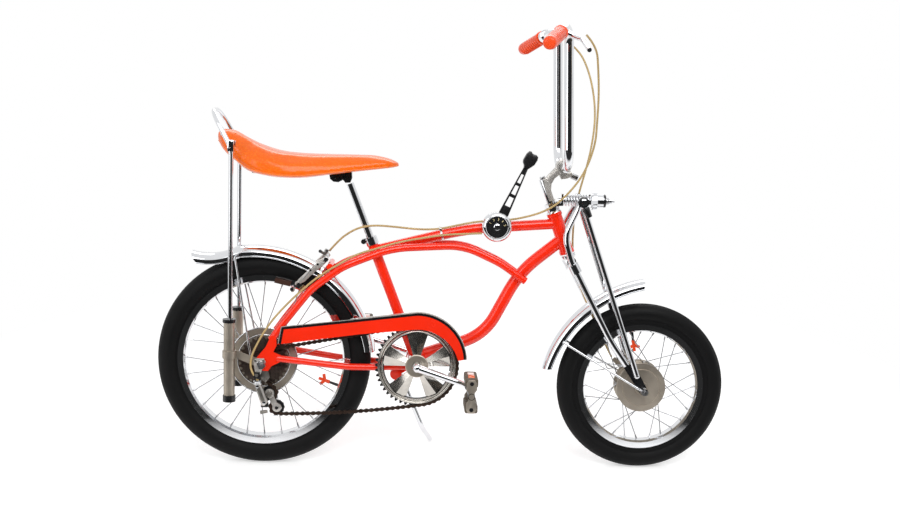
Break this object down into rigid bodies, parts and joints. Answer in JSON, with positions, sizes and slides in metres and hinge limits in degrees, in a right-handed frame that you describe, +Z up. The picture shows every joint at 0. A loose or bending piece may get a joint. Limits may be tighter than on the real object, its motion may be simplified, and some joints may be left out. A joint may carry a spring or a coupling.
{
  "type": "chopper bicycle",
  "caption": "Chopper bicycle with a springer fork, small drum front wheel, long padded seat, hooped back rest, stick shifter and high handlebar, leaning on its side stand",
  "frame": {"origin": "on the floor, at the middle of the box round the whole bicycle as it leans on its side stand", "axes": "X forward, Y to the rider's left, Z up; the bicycle leans 8 degrees to its left"},
  "size_m": [1.368, 0.5982, 1.0745],
  "materials": {
    "frame_paint": "glossy orange-red enamel",
    "guard_paint": "glossy orange-red enamel with a black panel along its edge",
    "chrome": "bright chrome plating",
    "steel": "zinc plated steel",
    "satin_alloy": "satin aluminium",
    "tyre_rubber": "black rubber",
    "black_plastic": "black plastic",
    "pad_rubber": "moulded rubber",
    "pedal_rubber": "moulded rubber with orange reflectors",
    "seat_vinyl": "glitter vinyl over foam, with pale piping",
    "grip_plastic": "orange moulded plastic",
    "chain_steel": "oiled dark chain",
    "cable_housing": "tan cable housing",
    "dark_steel": "black painted steel"
  },
  "bodies": {
    "chassis": {"frame": "frame_paint", "head_cups": "chrome", "bb_cups": "chrome", "rear_axle": "steel", "chain": "chain_steel", "rear_sprockets": "chain_steel", "jockey_pulleys": "black_plastic", "derailleur": "chrome", "chain_guard": "guard_paint", "rear_fender": "chrome", "rear_fender_stays": "chrome", "saddle": "seat_vinyl", "saddle_pan": "dark_steel", "seat_post": "chrome", "seat_clamp": "chrome", "sissy_bar": "chrome", "shocks": "satin_alloy", "shock_caps": "dark_steel", "shock_brackets": "satin_alloy", "shifter_base": "chrome", "shifter_lever": "black_plastic", "rear_brake": "chrome", "brake_pads": "pad_rubber", "brake_cable_lower": "cable_housing", "gear_cable": "cable_housing"},
    "steering": {"fork_crown": "chrome", "fork_legs": "chrome", "fork_struts": "chrome", "fork_links": "dark_steel", "fork_pins": "chrome", "headset": "chrome", "fork_spring": "chrome", "spring_barrel": "chrome", "stem": "chrome", "handlebar": "chrome", "grips": "grip_plastic", "brake_levers": "chrome", "front_axle": "steel", "brake_plate": "satin_alloy", "front_fender": "chrome", "front_fender_stays": "chrome", "brake_cable_upper": "cable_housing", "brake_cable_front": "cable_housing"},
    "front_wheel": {"front_tyre": "tyre_rubber", "front_rim": "chrome", "front_hub": "satin_alloy", "front_spokes": "steel", "front_valve": "grip_plastic"},
    "rear_wheel": {"rear_tyre": "tyre_rubber", "rear_rim": "chrome", "rear_hub": "chrome", "rear_spokes": "steel", "spoke_guard": "chrome", "rear_valve": "grip_plastic"},
    "crankset": {"crank": "chrome", "chainring": "chrome"},
    "right_pedal": {"pedal_right": "pedal_rubber"},
    "left_pedal": {"pedal_left": "pedal_rubber"},
    "stand": {"side_stand": "chrome"}
  },
  "joints": [
    {"name": "steering", "type": "hinge", "parent": "chassis", "child": "steering", "pos_m": [0.2571, -0.05542, 0.61621], "axis": [-0.3453, 0.1306, 0.9294], "range_deg": [-45, 45], "deforming": ["brake_cable_upper"]},
    {"name": "front_wheel_spin", "type": "hinge", "parent": "steering", "child": "front_wheel", "pos_m": [0.4815, -0.1138, 0.20079], "axis": [0, 0.9903, -0.1392], "continuous": true},
    {"name": "rear_wheel_spin", "type": "hinge", "parent": "chassis", "child": "rear_wheel", "pos_m": [-0.429, -0.10649, 0.25278], "axis": [0, 0.9903, -0.1392], "continuous": true},
    {"name": "crank_spin", "type": "hinge", "parent": "chassis", "child": "crankset", "pos_m": [-0.0637, -0.10663, 0.25179], "axis": [0, 0.9903, -0.1392], "continuous": true},
    {"name": "right_pedal_spin", "type": "hinge", "parent": "crankset", "child": "right_pedal", "pos_m": [0.06148, -0.24714, 0.22924], "axis": [0, 0.9903, -0.1392], "continuous": true},
    {"name": "left_pedal_spin", "type": "hinge", "parent": "crankset", "child": "left_pedal", "pos_m": [-0.18888, 0.03387, 0.27434], "axis": [0, 0.9903, -0.1392], "continuous": true},
    {"name": "stand_fold", "type": "hinge", "parent": "chassis", "child": "stand", "pos_m": [-0.113, -0.06414, 0.2236], "axis": [0, 0.9997, -0.0262], "range_deg": [0, 97]}
  ]
}
